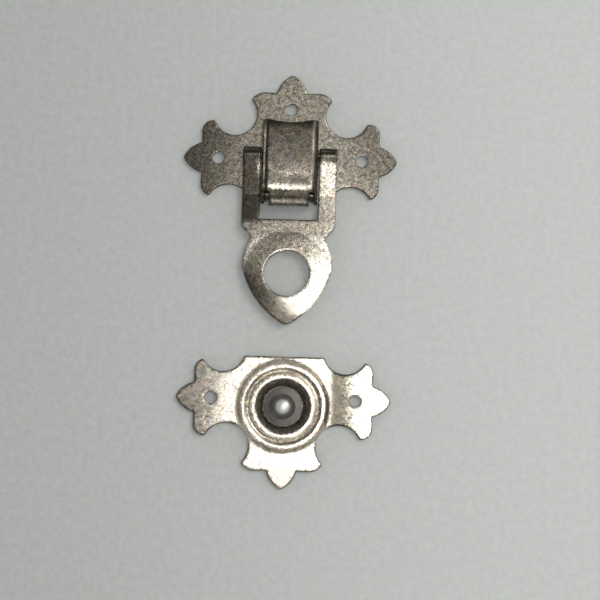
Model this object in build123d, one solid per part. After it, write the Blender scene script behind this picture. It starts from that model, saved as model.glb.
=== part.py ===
from build123d import *
import os
from math import cos, radians, sin, sqrt

# Toggle latch: a flip-up lever on a cross-shaped base plate works a hasp with a round hole,
# and the hasp drops over a ball stud riveted to a separate strike plate.
# Millimetres. +X to the right, +Y from the strike towards the base plate, +Z out of the
# mounting face. The origin is midway between the two side holes of the base plate, on its back.

# Sheet and screw holes shared by both plates
plate_sheet = 0.7
screw_hole_r = 1.0
side_hole_x = 12.0
top_hole_y = 8.4
edge_ease = 0.15

# Pointed end of each plate arm, measured outwards from its screw hole
point_reach = 5.85
point_bulge_out, point_bulge_side = 4.45, 1.75
notch_out, notch_side = 2.8, 2.5
shoulder_out, shoulder_side = 2.85, 4.5
outer_barb_out, outer_barb_side = 1.45, 6.35
inner_barb_out, inner_barb_side = 0.75, 6.25
third_barb_out, third_barb_side = 1.6, 6.75
point_round = 0.8
barb_round = 0.35
notch_round = 0.3

# Bays between the arms, and the arm that is cut off straight
bay_x, bay_y = 6.5, 5.35
straight_edge_y = 7.05
straight_edge_half = 6.6
low_bay_x, low_bay_y = 9.9, 4.4

# Lever pivot and the two ears folded up from the base plate to carry it
pivot_y, pivot_z = -6.2, 2.75
pivot_pin_r = 0.6
ear_round_r = 0.95
ear_fold_r = 0.3
ear_gap = 0.1

# Lever, one bent sheet: arched top, two side flanges, a nose tab rolled round the pivot
lever_sheet = 0.5
lever_half_outside = 4.65
lever_edge_r = 1.1
nose_gap = 0.2
nose_start_deg = 97.0
nose_end_deg = 196.0
nose_overlap_deg = 3.0
slit_past_pivot = 0.3
cheek_r = 1.6
lever_low_z = 1.0
lever_end_y = 6.25
lever_arch_r = 34.0
lever_end_dip = 0.45
lever_corner_r = 0.5

# Hasp, one sheet: two arms rolled into barrels, a window for the lever and a heart end
link_sheet = 0.6
link_pin_y = 0.6
link_pin_r = 0.56
link_lift = 0.05
arm_slope_deg = 16.0
barrel_end_deg = 200.0
arm_half_outside = 7.8
window_gap = 0.2
window_end_y = -10.1
shoulder_y = -11.4
waist_y, waist_half = -13.3, 6.1
heart_bend_y, heart_bend_half = -15.6, 7.15
heart_wide_y, heart_wide_half = -18.2, 7.5
heart_low_y, heart_low_half = -23.0, 5.4
heart_tip_y = -27.8
heart_tip_round = 1.6
waist_round = 0.6
link_hole_y = -19.1
link_hole_r = 3.8
crown_foot_r = 7.0
crown_rise = 0.25

# Running clearance of a turning pin, and how far the pins stand in from the faces outside
pin_gap = 0.04
pin_end_inset = 0.1

# Strike plate with its pressed rings, and the ball stud riveted in the dish
strike_y = -40.0
strike_point_extra = 0.6
ring_offset = 1.15
ring_foot_r = 7.75
outer_crest_in = 1.05
groove_in = 1.95
inner_crest_in = 2.8
dish_in = 4.4
crest_half_width = 0.3
outer_crest_rise = 1.2
groove_rise = 0.75
inner_crest_rise = 1.3
dish_rise = 0.45
ball_r = 2.05
neck_r = 1.2
collar_gap = 0.2
collar_edge = 0.15
collar_height = 0.45
ball_lift = 2.35
tail_r = 1.6
tail_thick = 0.35

# Worked out from the sizes above
link_barrel_r = link_sheet + link_pin_r + pin_gap
link_floor_z = plate_sheet + link_lift
link_pin_z = link_floor_z + link_barrel_r
nose_r = pivot_z - plate_sheet - nose_gap
window_half = lever_half_outside + window_gap
ear_half_outside = lever_half_outside - lever_sheet - ear_gap
nose_tab_half = ear_half_outside - plate_sheet - ear_gap
outer_crest_r = ring_foot_r - outer_crest_in
groove_r = ring_foot_r - groove_in
inner_crest_r = ring_foot_r - inner_crest_in
dish_r = ring_foot_r - dish_in
collar_r = dish_r - collar_gap
over_height = side_hole_x + point_reach


def arm_point(hole, direction, out, side):
    """Plate position of a point given outwards from an arm's hole and sideways from its axis."""
    across = Vector(-direction.Y, direction.X)
    return hole + direction * out + across * side


def pointed_arm(hole, direction, reach, barbs):
    """Edges of one pointed arm end, between its two barbs, each given as (out, side)."""
    edges = []
    tip = arm_point(hole, direction, reach, 0)
    for hand, (barb_out, barb_side) in zip((-1, 1), barbs):
        barb = arm_point(hole, direction, barb_out, hand * barb_side)
        shoulder = arm_point(hole, direction, shoulder_out, hand * shoulder_side)
        notch = arm_point(hole, direction, notch_out, hand * notch_side)
        bulge = arm_point(hole, direction, point_bulge_out, hand * point_bulge_side)
        edges.append(TangentArc(shoulder, barb, tangent=shoulder - notch))
        edges.append(Line(shoulder, notch))
        edges.append(ThreePointArc(notch, bulge, tip))
    return edges


def near(face, points):
    """Corners of a face that lie at the given points."""
    return [
        corner
        for corner in face.vertices()
        if any((corner.center() - point).length < 0.01 for point in points)
    ]


def plate_face(third_hole_y, third_reach):
    """Cross-shaped outline with three pointed arms and a fourth cut off straight."""
    right, left, up = Vector(1, 0), Vector(-1, 0), Vector(0, 1)
    outer, inner = (outer_barb_out, outer_barb_side), (inner_barb_out, inner_barb_side)
    third = (third_barb_out, third_barb_side)
    arms = [
        (Vector(side_hole_x, 0), right, point_reach, (outer, inner)),
        (Vector(0, third_hole_y), up, third_reach, (third, third)),
        (Vector(-side_hole_x, 0), left, point_reach, (inner, outer)),
    ]
    edges, tips, barb_points, notches = [], [], [], []
    for hole, direction, reach, barbs in arms:
        edges += pointed_arm(hole, direction, reach, barbs)
        tips.append(arm_point(hole, direction, reach, 0))
        for hand, (out, side) in zip((-1, 1), barbs):
            barb_points.append(arm_point(hole, direction, out, hand * side))
            notches.append(arm_point(hole, direction, notch_out, hand * notch_side))
    right_outer, right_inner, third_right, third_left, left_inner, left_outer = barb_points
    corner = Vector(straight_edge_half, -straight_edge_y)
    mirrored_corner = Vector(-straight_edge_half, -straight_edge_y)
    edges.append(ThreePointArc(right_inner, Vector(bay_x, bay_y), third_right))
    edges.append(ThreePointArc(left_inner, Vector(-bay_x, bay_y), third_left))
    edges.append(ThreePointArc(right_outer, Vector(low_bay_x, -low_bay_y), corner))
    edges.append(ThreePointArc(left_outer, Vector(-low_bay_x, -low_bay_y), mirrored_corner))
    edges.append(Line(mirrored_corner, corner))
    face = make_face(edges)
    face = fillet(near(face, tips), point_round)
    face = fillet(near(face, barb_points), barb_round)
    return fillet(near(face, notches), notch_round)


def eased_front(solid, height):
    """Soft edge that the die leaves round the front face of a sheet."""
    rim = [
        edge
        for edge in solid.edges().filter_by_position(Axis.Z, height - 0.001, height + 0.001)
    ]
    return chamfer(rim, edge_ease)


def ear(hand):
    """One ear: it is cut from the plate between the ears and folded up on a small radius."""
    inside = hand * (ear_half_outside - plate_sheet / 2)
    blade = Box(plate_sheet, 2 * ear_round_r, pivot_z - plate_sheet / 2)
    blade = Pos(inside, pivot_y, (pivot_z + plate_sheet / 2) / 2) * blade
    blade += Pos(inside, pivot_y, pivot_z) * Rot(0, 90, 0) * Cylinder(ear_round_r, plate_sheet)
    root = Box(ear_fold_r + plate_sheet, 2 * ear_round_r, ear_fold_r + plate_sheet)
    root_x = ear_half_outside + (ear_fold_r - plate_sheet) / 2
    root = Pos(hand * root_x, pivot_y, (ear_fold_r + plate_sheet) / 2) * root
    bend_x, bend_z = hand * (ear_half_outside + ear_fold_r), plate_sheet + ear_fold_r
    rod = Rot(90, 0, 0) * Cylinder(ear_fold_r, 3 * ear_round_r)
    root -= Pos(bend_x, pivot_y, bend_z) * rod
    sleeve = Rot(90, 0, 0) * Cylinder(ear_fold_r + plate_sheet, 3 * ear_round_r)
    root &= Pos(bend_x, pivot_y, bend_z) * sleeve
    blade -= Pos(inside, pivot_y, 0) * Box(plate_sheet, 3 * ear_round_r, 2 * bend_z)
    return blade + root


def make_base_plate():
    plate = eased_front(
        extrude(plate_face(top_hole_y, point_reach), plate_sheet), plate_sheet
    )
    for x, y in ((side_hole_x, 0), (-side_hole_x, 0), (0, top_hole_y)):
        plate -= Pos(x, y) * Cylinder(screw_hole_r, 3 * plate_sheet)
    slot_half = ear_half_outside + ear_fold_r
    slot_top = pivot_y + ear_round_r
    slot_length = slot_top + straight_edge_y + 1
    plate -= Pos(0, slot_top - slot_length / 2) * Box(2 * slot_half, slot_length, 3 * plate_sheet)
    for hand in (-1, 1):
        plate += ear(hand)
    bore = Rot(0, 90, 0) * Cylinder(pivot_pin_r + pin_gap, 3 * ear_half_outside)
    return plate - Pos(0, pivot_y, pivot_z) * bore


def on_nose(radius, turn_deg):
    """Point of a circle round the lever pivot, in the side view (Y, Z)."""
    angle = radians(turn_deg)
    return Vector(pivot_y + radius * cos(angle), pivot_z + radius * sin(angle))


def arch_point(inset, y):
    """Point (Y, Z) of the lever's arched top, moved in by inset. It is tangent to the nose."""
    centre = on_nose(nose_r - lever_arch_r, nose_start_deg)
    arch_r = lever_arch_r - inset
    return Vector(y, centre.Y + sqrt(arch_r**2 - (y - centre.X) ** 2))


def under_arch(inset, front_y, back_y, low_z):
    """Side view of all that lies under the lever's arch, between two ends and above low_z."""
    front, back = arch_point(inset, front_y), arch_point(inset, back_y)
    crest = arch_point(inset, (front_y + back_y) / 2)
    walls = Polyline(back, (back_y, low_z), (front_y, low_z), front)
    return make_face([ThreePointArc(front, crest, back), walls])


def nose_tab():
    """Side view of the tab that the top sheet ends in, rolled round the pivot."""
    start = nose_start_deg - nose_overlap_deg
    ring = Circle(nose_r) - Circle(nose_r - lever_sheet)
    middle = (start + nose_end_deg) / 2
    sector = Polyline(
        (0, 0),
        Vector(3 * nose_r, 0).rotate(Axis.Z, start),
        Vector(5 * nose_r, 0).rotate(Axis.Z, middle),
        Vector(3 * nose_r, 0).rotate(Axis.Z, nose_end_deg),
        close=True,
    )
    return Pos(pivot_y, pivot_z) * (ring & make_face(sector))


def across(face, half):
    """Extrudes a side view drawn in (Y, Z) over the width from -half to half."""
    return extrude(Plane.YZ * face, half, both=True)


def folded_edges(block, half):
    """Curved edges of a side view's extrusion, where the top sheet folds into the flanges."""
    return [
        edge
        for edge in block.edges()
        if edge.geom_type == GeomType.CIRCLE and abs(edge.center().X) > half - 0.01
    ]


def make_lever():
    inside_half = lever_half_outside - lever_sheet
    front_y = on_nose(nose_r, nose_start_deg).X
    block = across(under_arch(0, front_y, lever_end_y, lever_low_z), lever_half_outside)
    block = fillet(folded_edges(block, lever_half_outside), lever_edge_r)
    room = across(under_arch(lever_sheet, front_y - 1, lever_end_y + 1, -1), inside_half)
    room = fillet(folded_edges(room, inside_half), lever_edge_r - lever_sheet)
    lever = block - room
    slit_end_x = ear_half_outside + ear_gap
    slit = slit_end_x - nose_tab_half
    slit_y = pivot_y + slit_past_pivot - 2 * nose_r
    for hand in (-1, 1):
        slit_at = Pos(hand * (nose_tab_half + slit / 2), slit_y, pivot_z)
        lever -= slit_at * Box(slit, 4 * nose_r, 4 * nose_r)
        cheek = Rot(0, 90, 0) * Cylinder(cheek_r, lever_sheet)
        cheek_x = hand * (lever_half_outside - lever_sheet / 2)
        lever += Pos(cheek_x, pivot_y, pivot_z) * cheek
    lever += across(nose_tab(), nose_tab_half)
    flat_half = lever_half_outside - lever_edge_r
    dip_r = (flat_half**2 + lever_end_dip**2) / (2 * lever_end_dip)
    dip = Pos(0, lever_end_y + dip_r - lever_end_dip, pivot_z + over_height / 2)
    lever -= dip * Cylinder(dip_r, over_height)
    heels = [
        edge
        for edge in lever.edges().filter_by(Axis.X)
        if abs(edge.center().Y - lever_end_y) < 0.01 and abs(edge.center().Z - lever_low_z) < 0.01
    ]
    lever = fillet(heels, lever_corner_r)
    pivot_hole = Rot(0, 90, 0) * Cylinder(pivot_pin_r, 3 * lever_half_outside)
    link_hole = Rot(0, 90, 0) * Cylinder(link_pin_r + pin_gap, 3 * lever_half_outside)
    lever -= Pos(0, pivot_y, pivot_z) * pivot_hole
    return lever - Pos(0, link_pin_y, link_pin_z) * link_hole


def link_side():
    """Side view of the hasp: flat end, sloping arm and the barrel rolled under it."""
    slope = radians(arm_slope_deg)
    along = Vector(-cos(slope), -sin(slope))
    upward = Vector(-sin(slope), cos(slope))
    axis = Vector(link_pin_y, link_pin_z)
    inner_r = link_barrel_r - link_sheet
    upper, lower = axis + upward * link_barrel_r, axis + upward * inner_r
    upper_bend = upper + along * ((upper.Y - link_floor_z - link_sheet) / sin(slope))
    lower_bend = lower + along * ((lower.Y - link_floor_z) / sin(slope))
    far_y = heart_tip_y - 1
    strip = make_face(
        Polyline(
            upper,
            upper_bend,
            (far_y, link_floor_z + link_sheet),
            (far_y, link_floor_z),
            lower_bend,
            lower,
            close=True,
        )
    )
    opening = Polyline(
        axis,
        axis + upward * 3 * link_barrel_r,
        axis + along * 4 * link_barrel_r,
        axis + Vector(3 * link_barrel_r, 0).rotate(Axis.Z, barrel_end_deg),
        close=True,
    )
    barrel = Circle(link_barrel_r) - Circle(inner_r)
    barrel = Pos(axis.X, axis.Y) * barrel - make_face(opening)
    return strip + barrel


def link_outline():
    """Plan of the hasp without its window: arms, waist and the heart with its rounded tip."""
    top_y = link_pin_y + 2 * link_barrel_r
    edges = [Line((-arm_half_outside, top_y), (arm_half_outside, top_y))]
    tip = Vector(0, heart_tip_y)
    for hand in (-1, 1):
        arm_top = Vector(hand * arm_half_outside, top_y)
        arm_foot = Vector(hand * arm_half_outside, shoulder_y)
        waist = Vector(hand * waist_half, waist_y)
        wide = Vector(hand * heart_wide_half, heart_wide_y)
        upper_bend = Vector(hand * heart_bend_half, heart_bend_y)
        lower_bend = Vector(hand * heart_low_half, heart_low_y)
        edges.append(Line(arm_top, arm_foot))
        edges.append(Line(arm_foot, waist))
        edges.append(ThreePointArc(waist, upper_bend, wide))
        edges.append(ThreePointArc(wide, lower_bend, tip))
    face = make_face(edges)
    face = fillet(near(face, [tip]), heart_tip_round)
    waists = [Vector(hand * waist_half, waist_y) for hand in (-1, 1)]
    shoulders = [Vector(hand * arm_half_outside, shoulder_y) for hand in (-1, 1)]
    return fillet(near(face, waists + shoulders), waist_round)


def crown_band():
    """Half section of the heart's crown, which rises gently from its foot to the hole."""
    foot = Vector(crown_foot_r, link_floor_z)
    top = Vector(link_hole_r, link_floor_z + crown_rise)
    thickness = Vector(0, link_sheet)
    return make_face(Polyline(foot, foot + thickness, top + thickness, top, close=True))


def make_link():
    plan = extrude(link_outline(), over_height)
    sheet = across(link_side(), arm_half_outside)
    link = sheet - Pos(0, link_hole_y) * Cylinder(crown_foot_r, over_height)
    link += Pos(0, link_hole_y) * revolve(Plane.XZ * crown_band(), Axis.Z)
    link &= plan
    window_length = over_height
    window = Pos(0, window_end_y + window_length / 2) * Box(
        2 * window_half, window_length, over_height
    )
    return link - window


def make_pin(radius, half_length):
    """Plain pin along X, cropped square from wire."""
    return Rot(0, 90, 0) * Cylinder(radius, 2 * half_length)


def ring_line(drop):
    """Line of the pressed rings from the foot to the middle of the dish, lowered by drop."""
    level = plate_sheet - drop
    points = [Vector(ring_foot_r, level)]
    for crest_r, rise in ((outer_crest_r, outer_crest_rise), (inner_crest_r, inner_crest_rise)):
        for side in (1, -1):
            points.append(Vector(crest_r + side * crest_half_width, level + rise))
        if crest_r == outer_crest_r:
            points.append(Vector(groove_r, level + groove_rise))
    points.append(Vector(dish_r, level + dish_rise))
    points.append(Vector(0, level + dish_rise))
    return points


def make_strike_plate():
    plate = eased_front(
        extrude(plate_face(top_hole_y + strike_point_extra, point_reach), plate_sheet), plate_sheet
    )
    for hand in (-1, 1):
        plate -= Pos(hand * side_hole_x, 0) * Cylinder(screw_hole_r, 3 * plate_sheet)
    rings = Polyline(*ring_line(0), *reversed(ring_line(plate_sheet)), close=True)
    band = make_face(rings)
    plate -= Pos(0, ring_offset) * Cylinder(ring_foot_r, 3 * plate_sheet)
    plate += Pos(0, ring_offset) * revolve(Plane.XZ * band, Axis.Z)
    plate -= Pos(0, ring_offset) * Cylinder(neck_r, over_height)
    return Pos(0, strike_y) * mirror(plate, Plane.XZ)


def make_ball_stud():
    floor_z = dish_rise
    seat_z = floor_z + plate_sheet
    ball_z = seat_z + collar_height + ball_lift
    neck_top_z = ball_z - sqrt(ball_r**2 - neck_r**2)
    section = make_face(
        [
            Polyline(
                (0, floor_z - tail_thick),
                (tail_r, floor_z - tail_thick),
                (tail_r, floor_z),
                (neck_r, floor_z),
                (neck_r, seat_z),
                (collar_r, seat_z),
                (collar_r, seat_z + collar_edge),
                (neck_r, seat_z + collar_height),
                (neck_r, neck_top_z),
            ),
            ThreePointArc((neck_r, neck_top_z), (ball_r, ball_z), (0, ball_z + ball_r)),
            Line((0, ball_z + ball_r), (0, floor_z - tail_thick)),
        ]
    )
    stud = revolve(Plane.XZ * section, Axis.Z)
    return Pos(0, strike_y - ring_offset) * stud


nodes = {
    "base_plate": make_base_plate(),
    "lever": make_lever(),
    "lever_pin": Pos(0, pivot_y, pivot_z)
    * make_pin(pivot_pin_r, lever_half_outside + window_gap / 3),
    "link_pin": Pos(0, link_pin_y, link_pin_z)
    * make_pin(link_pin_r, arm_half_outside - pin_end_inset),
    "link": make_link(),
    "strike_plate": make_strike_plate(),
    "ball_stud": make_ball_stud(),
}
os.makedirs("parts", exist_ok=True)
for name, solid in nodes.items():
    export_step(solid, f"parts/{name}.step")
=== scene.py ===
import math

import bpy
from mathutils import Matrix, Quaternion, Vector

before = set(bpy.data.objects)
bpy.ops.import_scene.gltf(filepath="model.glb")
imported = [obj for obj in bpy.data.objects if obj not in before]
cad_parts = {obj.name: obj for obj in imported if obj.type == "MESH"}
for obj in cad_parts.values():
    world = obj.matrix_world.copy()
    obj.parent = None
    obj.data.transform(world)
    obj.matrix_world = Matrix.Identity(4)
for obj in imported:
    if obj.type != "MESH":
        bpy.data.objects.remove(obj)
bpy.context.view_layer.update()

# %% [markdown]
# A small nickel-plated toggle latch, laid out on paper. The base plate carries a lever that is rolled
# round a pin in two folded ears. A second pin joins the lever to the hasp, whose round hole drops over a
# ball on the strike plate. The imported solids already have these shapes, so this lesson gives them
# light, a view, and the finish of tarnished nickel plate, with much of its shade painted into its
# colour.

MM = 0.001

# %% [markdown]
# The camera. The real fitting was seen from a hand's length above the paper, from a point a
# little below the middle of the view, so the walls that face the strike plate show slightly.
# A square view of 100 mm at that height needs a lens of about 90 mm on a 36 mm sensor. A lens
# worked out from the view's width is easier to trust than one that was tried out by eye.

# %% Camera above the paper
view_middle = Vector((2.3, -23.4, 0.0)) * MM
eye = Vector((2.3, -38.4, 250.0)) * MM
view_width = 100.0 * MM
view_roll = math.radians(1.7)
sensor = 36.0

camera_data = bpy.data.cameras.new("camera")
camera_data.sensor_width = sensor
camera_data.lens = sensor * (eye - view_middle).length / view_width
camera_data.clip_start = 0.01
camera = bpy.data.objects.new("camera", camera_data)
bpy.context.scene.collection.objects.link(camera)
camera.location = eye
aim = (view_middle - eye).to_track_quat("-Z", "Y")
camera.rotation_euler = (aim @ Quaternion((0, 0, 1), view_roll)).to_euler()
bpy.context.scene.camera = camera
bpy.context.scene.view_settings.view_transform = "Standard"
print("lens, mm:", round(camera_data.lens, 1))

# %% [markdown]
# Helpers. A finish is a tree of nodes, and most of its nodes are sums. They could be placed by hand in
# the node editor, but then nobody can read why. With one short function for each kind of sum, a finish
# further down reads like a recipe: painted shade here, a product there.


# %% Helper: sums in a node tree
def link_value(tree, socket, value):
    """Connects an output to a socket, or writes a plain number or colour on it."""
    if isinstance(value, bpy.types.NodeSocket):
        tree.links.new(value, socket)
    else:
        socket.default_value = value


def math_node(tree, operation, first, second=0.0, clamp=False):
    node = tree.nodes.new("ShaderNodeMath")
    node.operation = operation
    node.use_clamp = clamp
    link_value(tree, node.inputs[0], first)
    link_value(tree, node.inputs[1], second)
    return node.outputs[0]


def product(tree, *factors):
    result = factors[0]
    for factor in factors[1:]:
        result = math_node(tree, "MULTIPLY", result, factor)
    return result


def strongest(tree, *masks):
    """The largest of several masks."""
    result = masks[0]
    for mask in masks[1:]:
        result = math_node(tree, "MAXIMUM", result, mask)
    return result


print("helpers: link_value, math_node, product, strongest")

# %% [markdown]
# Ramps. The painted shade fades from one place to another. A Map Range node with smooth ends says just
# that: none at one place, all of it at another, and no line between them.


# %% Helper: where painted shade begins and where it is darkest
def ramp_between(tree, value, none_at, all_at):
    """Goes smoothly from 0 to 1 between two values, either of which may be the larger."""
    node = tree.nodes.new("ShaderNodeMapRange")
    node.interpolation_type = "SMOOTHSTEP"
    falls = none_at > all_at
    link_value(tree, node.inputs["Value"], value)
    node.inputs["From Min"].default_value = min(none_at, all_at)
    node.inputs["From Max"].default_value = max(none_at, all_at)
    node.inputs["To Min"].default_value = 1.0 if falls else 0.0
    node.inputs["To Max"].default_value = 0.0 if falls else 1.0
    return node.outputs["Result"]


def shade_ramp(tree, along, unshaded_at, darkest_at, most):
    """Painted shade: nothing at unshaded_at and most at darkest_at, in mm along an axis."""
    return product(tree, ramp_between(tree, along, unshaded_at, darkest_at), most)


def distance_from(tree, x, y, centre_x, centre_y):
    """Distance in the plan from a point, in mm."""
    across = math_node(tree, "SUBTRACT", x, centre_x)
    along = math_node(tree, "SUBTRACT", y, centre_y)
    squares = math_node(tree, "ADD", product(tree, across, across), product(tree, along, along))
    return math_node(tree, "SQRT", squares)


print("helpers: ramp_between, dirt, distance_from")

# %% [markdown]
# Colours and noise. The Mix node keeps a set of sockets for each kind of value, so its colour
# sockets are picked by their places in the list. Noise is the one texture used: nothing on a
# tumbled, plated and tarnished sheet repeats.

# %% Helper: colours and noise
FIRST_COLOUR = 6
SECOND_COLOUR = 7
MIXED_COLOUR = 2
NOISE_MIDDLE = 0.5


def mix_colours(tree, factor, first, second):
    node = tree.nodes.new("ShaderNodeMix")
    node.data_type = "RGBA"
    link_value(tree, node.inputs["Factor"], factor)
    link_value(tree, node.inputs[FIRST_COLOUR], first)
    link_value(tree, node.inputs[SECOND_COLOUR], second)
    return node.outputs[MIXED_COLOUR]


def vector_node(tree, operation, first, second):
    """A sum of two vectors. For SCALE the second value is a number."""
    node = tree.nodes.new("ShaderNodeVectorMath")
    node.operation = operation
    second_socket = node.inputs["Scale"] if operation == "SCALE" else node.inputs[1]
    link_value(tree, node.inputs[0], first)
    link_value(tree, second_socket, second)
    return node.outputs[0]


def noise(tree, place, scale, detail=2.0, roughness=0.5, give="Fac"):
    node = tree.nodes.new("ShaderNodeTexNoise")
    link_value(tree, node.inputs["Vector"], place)
    link_value(tree, node.inputs["Scale"], scale)
    node.inputs["Detail"].default_value = detail
    node.inputs["Roughness"].default_value = roughness
    return node.outputs[give]


def axes_of(tree, vector):
    """The three parts of a vector."""
    node = tree.nodes.new("ShaderNodeSeparateXYZ")
    tree.links.new(vector, node.inputs[0])
    return node.outputs


print("helpers: mix_colours, vector_node, noise, axes_of")

# %% [markdown]
# Groups. Grain, tarnish and painted shade on the rims come back on piece after piece. Copying their
# nodes into each material would work, but a change would then have to be made many times. A node group
# is built once, and a material sets only its named inputs.


# %% Helper: shader node groups
def new_group(name, inputs, outputs):
    """An empty shader group with named sockets. Returns the group, its inputs and its outputs."""
    group = bpy.data.node_groups.new(name, "ShaderNodeTree")
    for label, kind, value in inputs:
        socket = group.interface.new_socket(name=label, in_out="INPUT", socket_type=kind)
        if value is not None:
            socket.default_value = value
    for label, kind in outputs:
        group.interface.new_socket(name=label, in_out="OUTPUT", socket_type=kind)
    entry = group.nodes.new("NodeGroupInput")
    leave = group.nodes.new("NodeGroupOutput")
    return group, entry.outputs, leave.inputs


def use_group(tree, group, **values):
    """Places a group in a tree. Underscores in the names stand for spaces."""
    node = tree.nodes.new("ShaderNodeGroup")
    node.node_tree = group
    for label, value in values.items():
        link_value(tree, node.inputs[label.replace("_", " ")], value)
    return node.outputs


NUMBER = "NodeSocketFloat"
VECTOR = "NodeSocketVector"
COLOUR = "NodeSocketColor"
print("helpers: new_group, use_group")

# %% [markdown]
# Grain. The plate was tumbled before it was plated, which leaves a frosted skin of tiny pits
# and bright specks a fifth to a third of a millimetre apart. Every piece has it, some more
# than others, so it is one group: fine specks for colour and height, broken up by patches.
# The plating is so thin on some specks that they play into yellow, green or pink, which the
# Tint output gives: a colour close to white that the metal's own colour is multiplied by.

# %% Group: frosted grain
grain_group, given, gives = new_group(
    "frosted_grain",
    [("Place", VECTOR, None), ("Pitch mm", NUMBER, 0.3), ("Contrast", NUMBER, 1.0),
     ("Colour play", NUMBER, 0.5)],
    [("Shade", NUMBER), ("Height", NUMBER), ("Tint", COLOUR)],
)
darkest_speck = 0.3
speck_share = 0.7
patch_scale = 0.3
play_scale = 0.6
per_metre = math_node(grain_group, "DIVIDE", 1.0 / MM, given["Pitch mm"])
specks = noise(grain_group, given["Place"], per_metre, detail=2.0, roughness=0.65)
patches = noise(grain_group, given["Place"], product(grain_group, per_metre, patch_scale), detail=1.0)
together = math_node(grain_group, "ADD", product(grain_group, specks, speck_share),
                     product(grain_group, patches, 1.0 - speck_share))
swing = product(grain_group, math_node(grain_group, "SUBTRACT", together, NOISE_MIDDLE),
                given["Contrast"])
shade = math_node(grain_group, "MAXIMUM", math_node(grain_group, "ADD", swing, 1.0), darkest_speck)
grain_group.links.new(shade, gives["Shade"])
grain_group.links.new(together, gives["Height"])
hues = noise(grain_group, given["Place"], product(grain_group, per_metre, play_scale), give="Color")
hues = vector_node(grain_group, "SUBTRACT", hues, (NOISE_MIDDLE,) * 3)
hues = vector_node(grain_group, "SCALE", hues, given["Colour play"])
grain_group.links.new(vector_node(grain_group, "ADD", hues, (1.0,) * 3), gives["Tint"])
print("group:", grain_group.name)

# %% [markdown]
# Tarnish. Nickel goes brown and dull where fingers and polish don't reach, in soft patches a
# few millimetres across. Noise with a steep ramp gives patches with a clear middle and a
# soft edge, where plain noise would only look cloudy.

# %% Group: brown tarnish in patches
tarnish_group, given, gives = new_group(
    "brown_tarnish",
    [("Place", VECTOR, None), ("Patch mm", NUMBER, 4.0), ("Amount", NUMBER, 0.5)],
    [("Mask", NUMBER)],
)
per_metre = math_node(tarnish_group, "DIVIDE", 1.0 / MM, given["Patch mm"])
cloud = noise(tarnish_group, given["Place"], per_metre, detail=4.0, roughness=0.6)
lifted = ramp_between(tarnish_group, cloud, none_at=0.35, all_at=0.65)
stained = math_node(tarnish_group, "MULTIPLY", lifted, given["Amount"], clamp=True)
tarnish_group.links.new(stained, gives["Mask"])
print("group:", tarnish_group.name)

# %% [markdown]
# Rims. The rim of each plate gets painted shade, and so does its face just beside it: the dark line that
# the rim's shadow and its dark reflection draw round a plate. The rim could be painted by hand, but the
# Bevel node finds it by itself: it gives the direction that a rounded rim would face. Turned into the
# piece's own frame, that says how far a spot leans away from the sheet's flat, and it stays on the piece
# when the piece turns.

# %% Group: painted shade along the rims of a flat sheet
rim_shade_group, given, gives = new_group(
    "rim_painted_shade",
    [("Reach mm", NUMBER, 0.4), ("Amount", NUMBER, 1.0)],
    [("Mask", NUMBER)],
)
flat_facing = 0.985
rim_facing = 0.76
BEVEL_SAMPLES = 6
rim = rim_shade_group.nodes.new("ShaderNodeBevel")
rim.samples = BEVEL_SAMPLES
link_value(rim_shade_group, rim.inputs["Radius"], product(rim_shade_group, given["Reach mm"], MM))
own_frame = rim_shade_group.nodes.new("ShaderNodeVectorTransform")
own_frame.vector_type = "NORMAL"
own_frame.convert_from = "WORLD"
own_frame.convert_to = "OBJECT"
rim_shade_group.links.new(rim.outputs["Normal"], own_frame.inputs[0])
facing = math_node(rim_shade_group, "ABSOLUTE", axes_of(rim_shade_group, own_frame.outputs[0])["Z"])
turned = ramp_between(rim_shade_group, facing, flat_facing, rim_facing)
darkened = math_node(rim_shade_group, "MULTIPLY", turned, given["Amount"], clamp=True)
rim_shade_group.links.new(darkened, gives["Mask"])
print("group:", rim_shade_group.name)

# %% [markdown]
# Strayed places. Painted shade that ends at a line looks drawn, so its last specks lie scattered. A mask
# that is drawn from a place gets such an edge when the place itself is pushed about by fine noise, so
# this group hands every finish its place in millimetres, strayed by as much as it asks.

# %% Group: a place that strays
stray_group, given, gives = new_group(
    "strayed_place",
    [("Place", VECTOR, None), ("Pitch mm", NUMBER, 0.3), ("Stray mm", NUMBER, 0.0)],
    [("Place mm", VECTOR)],
)
per_metre = math_node(stray_group, "DIVIDE", 1.0 / MM, given["Pitch mm"])
push = noise(stray_group, given["Place"], per_metre, give="Color")
push = vector_node(stray_group, "SUBTRACT", push, (NOISE_MIDDLE,) * 3)
both_ways = product(stray_group, given["Stray mm"], 2.0)
push = vector_node(stray_group, "SCALE", push, both_ways)
in_mm = vector_node(stray_group, "SCALE", given["Place"], 1.0 / MM)
stray_group.links.new(vector_node(stray_group, "ADD", in_mm, push), gives["Place mm"])
print("group:", stray_group.name)

# %% [markdown]
# Relief. Plating runs thick over an edge and rounds it, and the frosting leaves pits of some
# hundredths of a millimetre. Neither needs new faces: the Bevel node rounds the way the edge
# is lit, and a bump on top of it lights the pits.

# %% Group: rounded edges and frosted pits
relief_group, given, gives = new_group(
    "frosted_relief",
    [("Height", NUMBER, 0.5), ("Strength", NUMBER, 0.6), ("Soft edge mm", NUMBER, 0.25)],
    [("Normal", VECTOR)],
)
pit_depth = 0.03 * MM
rounded = relief_group.nodes.new("ShaderNodeBevel")
rounded.samples = BEVEL_SAMPLES
link_value(relief_group, rounded.inputs["Radius"], product(relief_group, given["Soft edge mm"], MM))
pits = relief_group.nodes.new("ShaderNodeBump")
pits.inputs["Distance"].default_value = pit_depth
link_value(relief_group, pits.inputs["Strength"], given["Strength"])
link_value(relief_group, pits.inputs["Height"], given["Height"])
link_value(relief_group, pits.inputs["Normal"], rounded.outputs["Normal"])
relief_group.links.new(pits.outputs["Normal"], gives["Normal"])
print("group:", relief_group.name)
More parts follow.
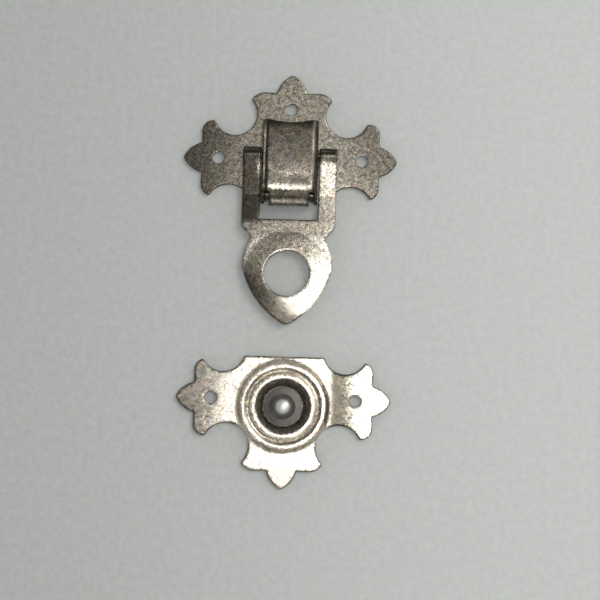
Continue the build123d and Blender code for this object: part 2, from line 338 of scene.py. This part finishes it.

# %% [markdown]
# Plated metal. All seven pieces share one build-up: clean nickel, brown tarnish over it, near-black
# painted shade over that, then the grain. They differ in the numbers and in where the painted shade
# lies, so one function makes every finish, and each piece hands it a small function that draws its own
# shade map from the places in the piece.

# %% Colours of the plate, from clean to black
CLEAN = (0.66, 0.61, 0.52, 1.0)
TAN = (0.40, 0.34, 0.25, 1.0)
BRIGHT = (0.90, 0.89, 0.86, 1.0)
# SHADE_BLACK is not a colour of the plate: it is the near-black that painted shade mixes in.
SHADE_BLACK = (0.045, 0.04, 0.03, 1.0)
tarnish_roughness = 0.1
print("plate colours:", CLEAN, TAN, BRIGHT, SHADE_BLACK)


# %% Helper: a plated metal with grain, tarnish and dark places
def plated_metal(name, shade_map, roughness, clean=CLEAN, dull=TAN, pitch=0.3, contrast=4.5, tarnish=0.5,
                 bump=0.6, edge=1.0, soft_edge=0.25, stray=0.0, play=0.55):
    """shade_map(tree, x, y, z), in mm, gives a mask of where painted shade lies dark.
    edge is how much painted shade the rims get: a number, or a function like shade_map.
    stray, in mm, is how far specks of the painted shade scatter past their places.
    play is how much the specks differ in hue."""
    material = bpy.data.materials.new(name)
    material.use_nodes = True
    tree = material.node_tree
    surface = tree.nodes["Principled BSDF"]
    surface.inputs["Metallic"].default_value = 1.0
    place = tree.nodes.new("ShaderNodeTexCoord").outputs["Object"]
    strayed = use_group(tree, stray_group, Place=place, Pitch_mm=pitch, Stray_mm=stray)
    x, y, z = axes_of(tree, strayed["Place mm"])
    if callable(edge):
        edge = edge(tree, x, y, z)
    # Painted shade: first on the rims, then wherever the piece's shade map puts it.
    painted_shade = use_group(tree, rim_shade_group, Amount=edge)["Mask"]
    painted_shade = math_node(tree, "MAXIMUM", painted_shade, shade_map(tree, x, y, z), clamp=True)
    brown = use_group(tree, tarnish_group, Place=place, Amount=tarnish)["Mask"]
    grain = use_group(tree, grain_group, Place=place, Pitch_mm=pitch, Contrast=contrast,
                      Colour_play=play)
    colour = mix_colours(tree, painted_shade, mix_colours(tree, brown, clean, dull), SHADE_BLACK)
    colour = vector_node(tree, "MULTIPLY", colour, grain["Tint"])
    colour = vector_node(tree, "SCALE", colour, grain["Shade"])
    tree.links.new(colour, surface.inputs["Base Color"])
    rougher_in_tarnish = math_node(tree, "ADD", product(tree, brown, tarnish_roughness), roughness)
    tree.links.new(rougher_in_tarnish, surface.inputs["Roughness"])
    relief = use_group(tree, relief_group, Height=grain["Height"], Strength=bump,
                       Soft_edge_mm=soft_edge)
    tree.links.new(relief["Normal"], surface.inputs["Normal"])
    return material


print("helper: plated_metal")


# %% Helper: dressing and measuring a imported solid
def finish(node, material):
    """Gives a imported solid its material."""
    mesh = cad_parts[node].data
    mesh.materials.clear()
    mesh.materials.append(material)
    print(node, "wears", material.name)


def middle_of(node):
    """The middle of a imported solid's box, in mm, in the frame that its dirt is drawn in."""
    corners = [Vector(corner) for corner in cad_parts[node].bound_box]
    return sum(corners, Vector()) / len(corners) / MM


print("helpers: finish, middle_of")

# %% [markdown]
# The base plate. Its sheet is left light beside the lever and gets painted shade towards the ends of its
# arms and its top tip, most of all on the left arm, where the flat mirrors less of the lamps. The ears
# get black painted shade, as they stand in the lever's shade. A painted mask could hold all this, but
# the arms run along the axes, so a ramp along each axis does it in four lines and needs no unwrapped
# mesh.


# %% Finish of the base plate
# Painted shade on the base plate: the arm ends, the top tip and the ears.
def base_shade_map(tree, x, y, z):
    left_arm = shade_ramp(tree, x, unshaded_at=-3.0, darkest_at=-16.0, most=0.75)
    right_arm = shade_ramp(tree, x, unshaded_at=0.0, darkest_at=18.0, most=0.73)
    tip = shade_ramp(tree, y, unshaded_at=12.0, darkest_at=14.0, most=0.15)
    ears = shade_ramp(tree, z, unshaded_at=0.9, darkest_at=1.3, most=0.9)
    return strongest(tree, left_arm, right_arm, tip, ears)


finish("base_plate", plated_metal("satin_nickel_plate", base_shade_map, roughness=0.23, pitch=0.19,
                                  contrast=5.5, bump=0.14, stray=1.5))

# %% [markdown]
# The hasp. One sheet again, left bright where it faces the lamps: the right arm, the right side of the
# heart and its tip. The left arm and the lower left of the heart get painted shade, as they lean away
# from the light, and so do the backs of the barrels where they turn in the lever, the lower part of the
# right arm and the crossbar; a thin strip along the left arm's inner edge, near the barrel, is kept
# light. The slanting border in the heart is a ramp along a slanting line, which is a weighted sum of x
# and y: two numbers to change, where a painted border would have to be painted again.

# %% Finish of the hasp
heart_centre_y = -19.1
slant_left = 0.6
slant_down = 0.8
print("heart's centre, y in mm:", heart_centre_y)


# Painted shade on the hasp, with the lit strip on the left arm left out of it.
def hasp_shade_map(tree, x, y, z):
    arm_length = ramp_between(tree, y, none_at=-12.5, all_at=-10.0)
    past_lit_strip = strongest(tree, ramp_between(tree, x, none_at=-5.1, all_at=-5.5),
                                 ramp_between(tree, y, none_at=-0.8, all_at=-3.6))
    left_arm = product(tree, shade_ramp(tree, x, unshaded_at=-3.5, darkest_at=-5.0, most=0.95), arm_length,
                       past_lit_strip)
    right_arm = product(tree, shade_ramp(tree, y, unshaded_at=-4.4, darkest_at=-6.2, most=0.28), arm_length,
                        ramp_between(tree, x, none_at=3.5, all_at=4.5))
    barrels = shade_ramp(tree, y, unshaded_at=-1.4, darkest_at=-0.3, most=0.93)
    leftward = product(tree, x, -slant_left)
    downward = product(tree, math_node(tree, "SUBTRACT", heart_centre_y, y), slant_down)
    slanting = math_node(tree, "ADD", leftward, downward)
    low_left = product(tree, shade_ramp(tree, slanting, unshaded_at=0.0, darkest_at=5.5, most=0.9),
                       ramp_between(tree, y, none_at=-13.0, all_at=-16.0))
    crossbar = product(tree, shade_ramp(tree, y, unshaded_at=-7.0, darkest_at=-9.0, most=0.4),
                       ramp_between(tree, y, none_at=-14.0, all_at=-12.6))
    return strongest(tree, left_arm, right_arm, barrels, low_left, crossbar)


finish("link", plated_metal("satin_nickel_hasp", hasp_shade_map, roughness=0.22, pitch=0.2, contrast=5.5,
                            bump=0.3, soft_edge=0.6, stray=1.0))

# %% [markdown]
# The lever. Its top gets painted shade, which with its grain makes a dark, grainy skin, and a bright
# band is left clean at the front, where the top sheet turns down over the pivot and mirrors the lamps.
# Black painted shade fills the crease behind the nose tab, the folds, the free end and the cheeks; a
# thin strip of the left fold is left out of it, and the nose tab is painted darker towards its lower
# edge. Rolling the tab round its pin has drawn fine lines along it, which break up that painted shade.
# Cut as grooves they would take thousands of faces, so they are made by noise that changes only across
# the sheet.


# %% Finish of the lever
def drawn_lines(tree, x, spacing):
    """Lines along the sheet, about spacing mm apart."""
    across = tree.nodes.new("ShaderNodeCombineXYZ")
    tree.links.new(x, across.inputs["X"])
    return ramp_between(tree, noise(tree, across.outputs[0], 1.0 / spacing), none_at=0.35, all_at=0.65)


# Painted shade on the lever: free end, folds, top, crease, tab and cheeks.
def lever_shade_map(tree, x, y, z):
    aside = math_node(tree, "ABSOLUTE", x)
    free_end = shade_ramp(tree, y, unshaded_at=3.6, darkest_at=5.8, most=0.92)
    lit_fold_strip = product(tree, ramp_between(tree, x, none_at=-4.5, all_at=-4.35),
                          ramp_between(tree, x, none_at=-4.0, all_at=-4.15))
    folds = product(tree, shade_ramp(tree, aside, unshaded_at=3.2, darkest_at=4.0, most=0.97),
                    math_node(tree, "SUBTRACT", 1.0, lit_fold_strip))
    top = shade_ramp(tree, y, unshaded_at=-5.2, darkest_at=-4.6, most=0.34)
    behind_band = product(tree, shade_ramp(tree, y, unshaded_at=-5.2, darkest_at=-4.4, most=0.8),
                          ramp_between(tree, y, none_at=-1.8, all_at=-3.8))
    tab = product(tree, shade_ramp(tree, y, unshaded_at=-6.4, darkest_at=-6.8, most=0.6),
                  drawn_lines(tree, x, spacing=0.5))
    cheeks = product(tree, shade_ramp(tree, aside, unshaded_at=2.7, darkest_at=3.1, most=0.95),
                     ramp_between(tree, y, none_at=-4.9, all_at=-5.6))
    crease = product(tree, shade_ramp(tree, y, unshaded_at=-5.3, darkest_at=-5.7, most=0.99),
                     ramp_between(tree, y, none_at=-7.15, all_at=-6.85))
    return strongest(tree, free_end, folds, top, behind_band, tab, cheeks, crease)


finish("lever", plated_metal("satin_nickel_lever", lever_shade_map, roughness=0.25, pitch=0.34,
                             contrast=4.2, bump=0.9, tarnish=0.8, edge=0.3, stray=0.3))

# %% [markdown]
# The pins. Only their ends show, between the folds, and they get painted shade all over, as the folds
# shade them. Each gets a material of its own, so that one can be changed without the other. There is no
# ramp to draw here: the same painted shade lies everywhere.


# %% Finish of the two pins
def pin_shade_map(tree, x, y, z):
    """A number instead of a mask, as it is the same everywhere."""
    return 0.85


for pin in ("lever_pin", "link_pin"):
    finish(pin, plated_metal("dark_" + pin, pin_shade_map, roughness=0.35, edge=0.0))

# %% [markdown]
# The strike plate. Bright round its pressed rings, and painted darker at the left arm, just right of the
# rings and at its lower tip, where the flat sheet mirrors less of the lamps: painted shade. Painted
# shade also lies in the groove between the rings and, black, in the dish, as shade falls into these
# hollows. The rings are round, so this painted shade is drawn from the distance to their centre, which
# is where the stud stands.

# %% Finish of the strike plate
ring_centre_y = middle_of("ball_stud").y
groove_radius = 5.8
dish_edge_radius = 4.9
dish_wall_width = 0.7
dish_floor_radius = 3.35
ring_foot_radius = 7.8
foot_blur = 0.2
print("rings' centre, y in mm:", round(ring_centre_y, 2))


# Painted shade on the strike plate: arm, beside the rings, tail, groove, dish wall and floor.
def strike_shade_map(tree, x, y, z):
    radius = distance_from(tree, x, y, 0.0, ring_centre_y)
    left_arm = shade_ramp(tree, x, unshaded_at=-8.0, darkest_at=-14.0, most=0.66)
    beside_rings = product(tree, shade_ramp(tree, x, unshaded_at=6.5, darkest_at=8.5, most=0.97),
                           ramp_between(tree, x, none_at=15.0, all_at=9.5))
    tail = shade_ramp(tree, y, unshaded_at=-49.0, darkest_at=-53.0, most=0.3)
    flat = product(tree, strongest(tree, left_arm, beside_rings, tail),
                   ramp_between(tree, radius, ring_foot_radius - foot_blur,
                                ring_foot_radius + foot_blur))
    wall = shade_ramp(tree, radius, unshaded_at=dish_edge_radius, darkest_at=dish_edge_radius - dish_wall_width,
                most=0.2)
    floor = shade_ramp(tree, radius, unshaded_at=dish_floor_radius + 0.4, darkest_at=dish_floor_radius + 0.1,
                 most=0.92)
    off_groove = math_node(tree, "ABSOLUTE", math_node(tree, "SUBTRACT", radius, groove_radius))
    groove = shade_ramp(tree, off_groove, unshaded_at=0.6, darkest_at=0.1, most=0.12)
    return strongest(tree, flat, wall, floor, groove)


def strike_rim_shade(tree, x, y, z):
    """Painted shade only along the outer rims. The walls of the pressed rings get none of it."""
    radius = distance_from(tree, x, y, 0.0, ring_centre_y)
    return shade_ramp(tree, radius, unshaded_at=ring_foot_radius + 0.1, darkest_at=ring_foot_radius + 0.5, most=1.0)


finish("strike_plate", plated_metal("satin_nickel_strike", strike_shade_map, roughness=0.25, contrast=3.4,
                                    bump=0.4, tarnish=0.3, edge=strike_rim_shade, soft_edge=0.55,
                                    stray=1.0))

# %% [markdown]
# The ball stud. Turned bright and left smooth, so its crown mirrors the lamps in one round spot. Its
# flanks get painted shade, so the ball darkens round that spot, and its collar gets painted shade too.
# The stud is round about an upright axis, so the height alone says where each of them lies.


# %% Finish of the ball stud
# Painted shade on the ball's flanks and on its collar.
def stud_shade_map(tree, x, y, z):
    flanks = product(tree, shade_ramp(tree, z, unshaded_at=5.97, darkest_at=5.45, most=0.9),
                     ramp_between(tree, z, none_at=2.8, all_at=3.2))
    collar = shade_ramp(tree, z, unshaded_at=3.2, darkest_at=2.8, most=0.86)
    return strongest(tree, flanks, collar)


finish("ball_stud", plated_metal("polished_nickel_stud", stud_shade_map, roughness=0.46, clean=BRIGHT,
                                 dull=BRIGHT, bump=0.1, contrast=0.6, edge=0.0, play=0.1))

# %% [markdown]
# The paper. A wide sheet of pale paper, a hair below the plates, with the faint mottle of its fibres. It
# is painted a little lighter to the right, painted light for the lamps that stand on that side. One flat
# face is enough, because a material gives the mottle. It is stage, not part of the latch.

# %% Pale paper
PAPER = (0.63, 0.65, 0.63)
paper_reach = 2.0
paper_z = -0.02 * MM
corners = [(-paper_reach, -paper_reach, paper_z), (paper_reach, -paper_reach, paper_z),
           (paper_reach, paper_reach, paper_z), (-paper_reach, paper_reach, paper_z)]
paper_mesh = bpy.data.meshes.new("paper")
paper_mesh.from_pydata(corners, [], [(0, 1, 2, 3)])
paper = bpy.data.objects.new("paper", paper_mesh)
bpy.context.scene.collection.objects.link(paper)
paper_finish = bpy.data.materials.new("paper")
paper_finish.use_nodes = True
tree = paper_finish.node_tree
sheet = tree.nodes["Principled BSDF"]
where = tree.nodes.new("ShaderNodeTexCoord").outputs["Object"]
fibre_pitch = 1.1 * MM
fibre_swing = 0.30
left_shade = 0.71
# Painted light: the paper's colour rises to the right.
painted_light_to_the_right = 0.26
shade_reach = 60.0 * MM
fibres = product(tree, noise(tree, where, 1.0 / fibre_pitch, detail=3.0, roughness=0.7), fibre_swing)
rightward = ramp_between(tree, axes_of(tree, where)["X"], none_at=-shade_reach, all_at=shade_reach)
paper_shade = math_node(tree, "ADD", fibres, left_shade)
paper_shade = math_node(tree, "ADD", paper_shade, product(tree, rightward, painted_light_to_the_right))
tree.links.new(vector_node(tree, "SCALE", PAPER, paper_shade), sheet.inputs["Base Color"])
sheet.inputs["Roughness"].default_value = 0.9
sheet.inputs["Specular IOR Level"].default_value = 0.2
paper_mesh.materials.append(paper_finish)
print("paper, m:", 2 * paper_reach)

# %% [markdown]
# The room. Polished metal looks like what it mirrors. Flat sheet seen from above mirrors the
# part of the room overhead, so that part is a plain grey. Bends mirror the walls: dim higher
# up and pale low down, which gives every bend a dark line with a light one beside it. Panels
# could be built for this, but a world with a ramp over its height does the same.

# %% Room that the metal mirrors
DIM = (0.15, 0.147, 0.14, 1.0)
PALE = (0.90, 0.91, 0.90, 1.0)
OVERHEAD_LEFT = (0.21, 0.205, 0.195, 1.0)
OVERHEAD_RIGHT = (0.22, 0.215, 0.205, 1.0)
world = bpy.data.worlds.new("soft_room")
bpy.context.scene.world = world
world.use_nodes = True
tree = world.node_tree
direction = axes_of(tree, tree.nodes.new("ShaderNodeTexCoord").outputs["Generated"])
low_wall = ramp_between(tree, direction["Z"], none_at=0.62, all_at=0.30)
ceiling = ramp_between(tree, direction["Z"], none_at=0.80, all_at=0.96)
overhead_side = ramp_between(tree, direction["X"], none_at=-0.12, all_at=0.12)
overhead = mix_colours(tree, overhead_side, OVERHEAD_LEFT, OVERHEAD_RIGHT)
room = mix_colours(tree, low_wall, mix_colours(tree, ceiling, DIM, overhead), PALE)
tree.links.new(room, tree.nodes["Background"].inputs["Color"])
tree.nodes["Background"].inputs["Strength"].default_value = 1.0
print("room:", world.name)

# %% [markdown]
# The lamps. Two small soft ones stand beside the camera, so metal near the middle of the view
# mirrors them and goes white. A large one stands far to the right and lights the paper and
# not the flats, which don't mirror it. The last, in front and high, glints on the slopes.
# One large lamp overhead would be simpler, but every flat would mirror it alike.


# %% Four soft lamps
def lamp(name, place, target, size, power):
    """A round lamp. Places and size are in mm, power is in watts."""
    data = bpy.data.lights.new(name, "AREA")
    data.shape = "DISK"
    data.size = size * MM
    data.energy = power
    holder = bpy.data.objects.new(name, data)
    bpy.context.scene.collection.objects.link(holder)
    holder.location = Vector(place) * MM
    holder.rotation_euler = (Vector(target) - Vector(place)).to_track_quat("-Z", "Y").to_euler()


lamp("key", place=(26, -50, 350), target=(5, -30, 0), size=50, power=0.15)
lamp("side", place=(62, 0, 350), target=(5, -20, 0), size=60, power=0.07)
lamp("room_light", place=(550, 350, 750), target=(0, -20, 0), size=600, power=3.1)
lamp("window", place=(100, -420, 900), target=(0, -20, 0), size=160, power=0.55)
